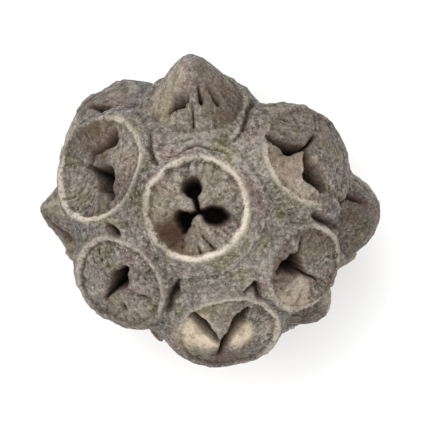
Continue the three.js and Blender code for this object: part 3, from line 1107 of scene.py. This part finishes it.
colour = wood.shade(wood.step(tint, 0.50, 0.66) * 0.7, colour, OLIVE)
colour = wood.shade(wood.step(tint, 0.47, 0.33) * 0.6, colour, ROSE)
cold = wood.step(from_axis, 0.009, 0.017) * on_wall.larger(wood.step(from_axis, 0.015, 0.019))
colour = wood.shade(cold * wood.step(patches, 0.70, 0.46) * 0.75, colour, COLD)
colour = wood.mix(pale * (wood.step(mottle, 0.34, 0.56) * 0.45 + 0.45), colour, WORN_VALVE)
colour = wood.mix(stain * (wood.step(mottle, 0.35, 0.60) * 0.5 + 0.4), colour, BROWN_STAIN)
colour = wood.mix(pale * (mottle + 0.5) * -1, colour, DARK_PATCH)
print("nodes with tints and marks:", len(wood.tree.nodes))

# %% [markdown]
# ## The underside
# The lower half is sheltered and keeps more colour: warm tan patches, brown ones, and darker valleys
# between capsules. The stalk's scar shows brown torn wood, with painted shade between its splinters.

# %% Underside
WARM = screen(170, 150, 124)
TAN = screen(176, 156, 130)
EARTH = screen(84, 64, 50)
VALLEY_DARK = screen(50, 39, 31)
SPLINTER = screen(150, 118, 88)
SPLINTER_GAP_SHADE = screen(78, 54, 39)

warm = beside * wood.step(tint + (mottle - 0.5) * 0.3, 0.50, 0.62) * 0.35
colour = wood.mix(warm, colour, WARM)
cloudy = patches + (mottle - 0.5) * 0.5
colour = wood.mix(lower * wood.step(cloudy, 0.54, 0.70) * 0.45, colour, TAN)
colour = wood.mix(lower * wood.step(cloudy, 0.46, 0.32) * 0.6, colour, EARTH)
# darker in the valleys between capsules, more so on the lower part
colour = wood.mix(wood.step(valley, 0.3, 1.3) * (lower * 0.45 + 0.3), colour, VALLEY_DARK)
# brown torn wood, with painted shade where the gaps between splinters lie deep
low_or_high = wood.step(hollow + (grit - 0.5) * 1.5, -0.3, 0.3)
torn_wood = wood.mix(low_or_high, SPLINTER, SPLINTER_GAP_SHADE)
colour = wood.mix(torn * 0.8, colour, torn_wood)
print("nodes with the underside:", len(wood.tree.nodes))

# %% [markdown]
# ## Rims, grit and slits
# The rim is bleached to cream, with a ragged border, and the groove inside it is darkened as painted
# shade. Pits, pale grains and fine cracks come on top of everything. Last of all come painted shade in the
# hollows, the brown edges of the slits with painted shade on them, and near-black painted shadow inside
# the slits, because no grit shines in there.

# %% Rims and grit
CREAM = screen(204, 193, 176)
GROOVE_SHADE = screen(84, 72, 62)
PIT = screen(50, 40, 32)
PALE_GRAIN = screen(206, 198, 186)
CRACK = screen(70, 56, 44)

ragged = across + (mottle - 0.5) * 0.18 + (grit - 0.5) * 0.10
on_rim = wood.step(ragged, 0.845, 0.925) * wood.step(ragged, 1.03, 0.955)
patchy = wood.step(mottle + grit * 0.6, 0.62, 0.86)
colour = wood.mix(on_rim * bleach * (patchy * 0.6 + 0.4), colour, CREAM)
in_groove = wood.step(across, 0.80, 0.855) * wood.step(across, 0.905, 0.875)
# painted shade in the groove inside the rim
colour = wood.mix(in_groove * 0.35, colour, GROOVE_SHADE)
colour = wood.mix(wood.step(specks, 0.36, 0.27) * 0.55, colour, PIT)
colour = wood.mix(wood.step(specks, 0.66, 0.76) * (0.5 - stain * 0.4), colour, PALE_GRAIN)
cracks = wood.step(fine_radial, 0.36, 0.27) * on_disc * wood.step(across, 0.35, 0.6)
colour = wood.mix(cracks * 0.5, colour, CRACK)
print("nodes with rims and grit:", len(wood.tree.nodes))

# %% Hollows and slits
HOLLOW_SHADE = screen(52, 44, 36)
SLIT_EDGE_SHADE = screen(74, 56, 42)
SLIT_SHADOW = screen(26, 19, 15)

# painted shade in the deep hollows
colour = wood.mix(wood.step(hollow, 0.3, 0.9) * 0.6, colour, HOLLOW_SHADE)
# brown wood at the slits' edges, darkened as painted shade
colour = wood.mix(wood.step(slit, 0.5, 0.06) * 0.6, colour, SLIT_EDGE_SHADE)
# near-black painted shadow inside the slits and creases
colour = wood.mix(wood.step(slit, 0.14, -0.16), colour, SLIT_SHADOW)
print("nodes with slits:", len(wood.tree.nodes))

# %% [markdown]
# ## Relief too fine for the mesh
# Grit, specks, fibres and cracks catch the light as bump. Dry wood is dull, so the roughness is high
# everywhere and only the grit changes it a little.

# %% Shader
BUMP_DEPTH = 0.3 * MM
bump_height = grit * 0.5 + specks * 0.25 + mottle * 0.4 + fibres * on_wall * 0.5 + radial * on_disc * 0.4
bump_inputs = {"Height": bump_height, "Strength": 0.85, "Distance": BUMP_DEPTH}
bump = wood.node("ShaderNodeBump", {}, bump_inputs).outputs["Normal"]
surface_inputs = {"Base Color": colour, "Roughness": grit * 0.12 + 0.82, "Normal": bump}
surface_inputs["Specular IOR Level"] = 0.25
shader = wood.node("ShaderNodeBsdfPrincipled", {}, surface_inputs)
wood.node("ShaderNodeOutputMaterial", {}, {"Surface": shader.outputs["BSDF"]})
head_mesh.materials.append(wood.material)
print("nodes in the wood:", len(wood.tree.nodes))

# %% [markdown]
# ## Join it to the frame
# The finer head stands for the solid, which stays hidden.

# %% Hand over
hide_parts("seed_ball")
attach(head, "root")

print("solid's sides in mm:", [round(side / MM, 2) for side in cad_high - cad_low])
